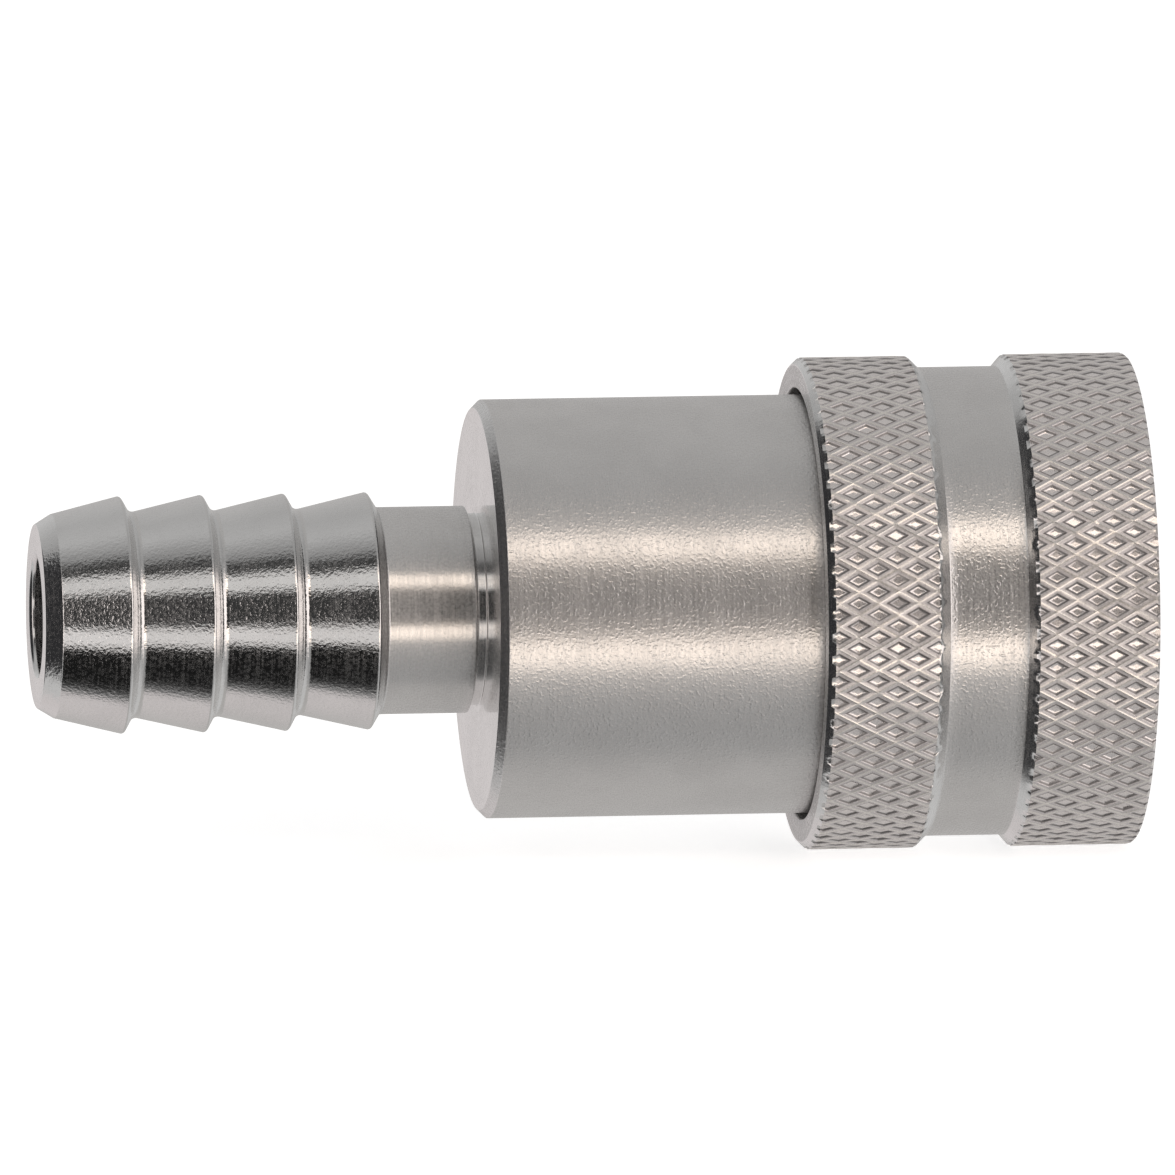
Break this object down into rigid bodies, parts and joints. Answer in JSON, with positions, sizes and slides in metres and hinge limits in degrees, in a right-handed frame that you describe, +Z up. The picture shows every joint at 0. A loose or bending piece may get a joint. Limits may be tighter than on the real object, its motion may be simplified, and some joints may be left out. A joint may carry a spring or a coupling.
{
  "type": "quick-release hose coupling",
  "caption": "Ball-lock quick-release hose coupling: barbed hose tail, plain round body with a spring-loaded valve, and a knurled sliding sleeve around the plug socket.",
  "frame": {"origin": "centre of the mouth, in the plane of the socket's front face", "axes": "+X along the coupling's axis, out of the mouth, the way the plug leaves; the hose tail runs towards -X; +Z up"},
  "size_m": [0.0557, 0.025, 0.025],
  "materials": {
    "nickel_plate": "satin nickel plate on brass, polished on the barbs",
    "nickel_knurled": "satin nickel plate on brass, diamond knurled grip bands",
    "ball_steel": "polished stainless steel",
    "spring_steel": "drawn stainless spring wire",
    "steel": "stamped stainless steel",
    "black_rubber": "moulded nitrile rubber, matt black",
    "white_ptfe": "white PTFE",
    "bare_brass": "turned bare brass"
  },
  "bodies": {
    "housing": {"tail_body": "nickel_plate", "socket_body": "nickel_plate", "body_seal": "black_rubber", "plug_seal": "black_rubber", "backup_ring": "white_ptfe", "retaining_ring": "spring_steel", "sleeve_spring": "spring_steel", "valve_spring": "spring_steel"},
    "sleeve_carrier": {"thrust_washer": "steel"},
    "sleeve": {"locking_sleeve": "nickel_knurled"},
    "valve": {"valve_poppet": "bare_brass", "valve_seal": "black_rubber"},
    "locking_ball_1": {"locking_ball_1": "ball_steel"},
    "locking_ball_2": {"locking_ball_2": "ball_steel"},
    "locking_ball_3": {"locking_ball_3": "ball_steel"},
    "locking_ball_4": {"locking_ball_4": "ball_steel"},
    "locking_ball_5": {"locking_ball_5": "ball_steel"},
    "locking_ball_6": {"locking_ball_6": "ball_steel"},
    "locking_ball_7": {"locking_ball_7": "ball_steel"},
    "locking_ball_8": {"locking_ball_8": "ball_steel"}
  },
  "joints": [
    {"name": "sleeve_slide", "type": "slide", "parent": "housing", "child": "sleeve_carrier", "axis": [-1, 0, 0], "range_m": [0, 0.0033], "stiffness_N_per_m": 1500, "springref_m": -0.004, "deforming": ["sleeve_spring"]},
    {"name": "sleeve_spin", "type": "hinge", "parent": "sleeve_carrier", "child": "sleeve", "pos_m": [0, 0, 0], "axis": [1, 0, 0], "continuous": true},
    {"name": "valve_slide", "type": "slide", "parent": "housing", "child": "valve", "axis": [-1, 0, 0], "range_m": [0, 0.003], "stiffness_N_per_m": 600, "springref_m": -0.004, "deforming": ["valve_spring"]},
    {"name": "ball_1_slide", "type": "slide", "parent": "housing", "child": "locking_ball_1", "axis": [0, 1, 0], "range_m": [0, 0.0009]},
    {"name": "ball_2_slide", "type": "slide", "parent": "housing", "child": "locking_ball_2", "axis": [0, 0.7071, 0.7071], "range_m": [0, 0.0009]},
    {"name": "ball_3_slide", "type": "slide", "parent": "housing", "child": "locking_ball_3", "axis": [0, 0, 1], "range_m": [0, 0.0009]},
    {"name": "ball_4_slide", "type": "slide", "parent": "housing", "child": "locking_ball_4", "axis": [0, -0.7071, 0.7071], "range_m": [0, 0.0009]},
    {"name": "ball_5_slide", "type": "slide", "parent": "housing", "child": "locking_ball_5", "axis": [0, -1, 0], "range_m": [0, 0.0009]},
    {"name": "ball_6_slide", "type": "slide", "parent": "housing", "child": "locking_ball_6", "axis": [0, -0.7071, -0.7071], "range_m": [0, 0.0009]},
    {"name": "ball_7_slide", "type": "slide", "parent": "housing", "child": "locking_ball_7", "axis": [0, 0, -1], "range_m": [0, 0.0009]},
    {"name": "ball_8_slide", "type": "slide", "parent": "housing", "child": "locking_ball_8", "axis": [0, 0.7071, -0.7071], "range_m": [0, 0.0009]}
  ],
  "couplings": [
    {"joint": "ball_1_slide", "follows": "sleeve_slide", "ratio": 0.27273},
    {"joint": "ball_2_slide", "follows": "sleeve_slide", "ratio": 0.27273},
    {"joint": "ball_3_slide", "follows": "sleeve_slide", "ratio": 0.27273},
    {"joint": "ball_4_slide", "follows": "sleeve_slide", "ratio": 0.27273},
    {"joint": "ball_5_slide", "follows": "sleeve_slide", "ratio": 0.27273},
    {"joint": "ball_6_slide", "follows": "sleeve_slide", "ratio": 0.27273},
    {"joint": "ball_7_slide", "follows": "sleeve_slide", "ratio": 0.27273},
    {"joint": "ball_8_slide", "follows": "sleeve_slide", "ratio": 0.27273}
  ]
}
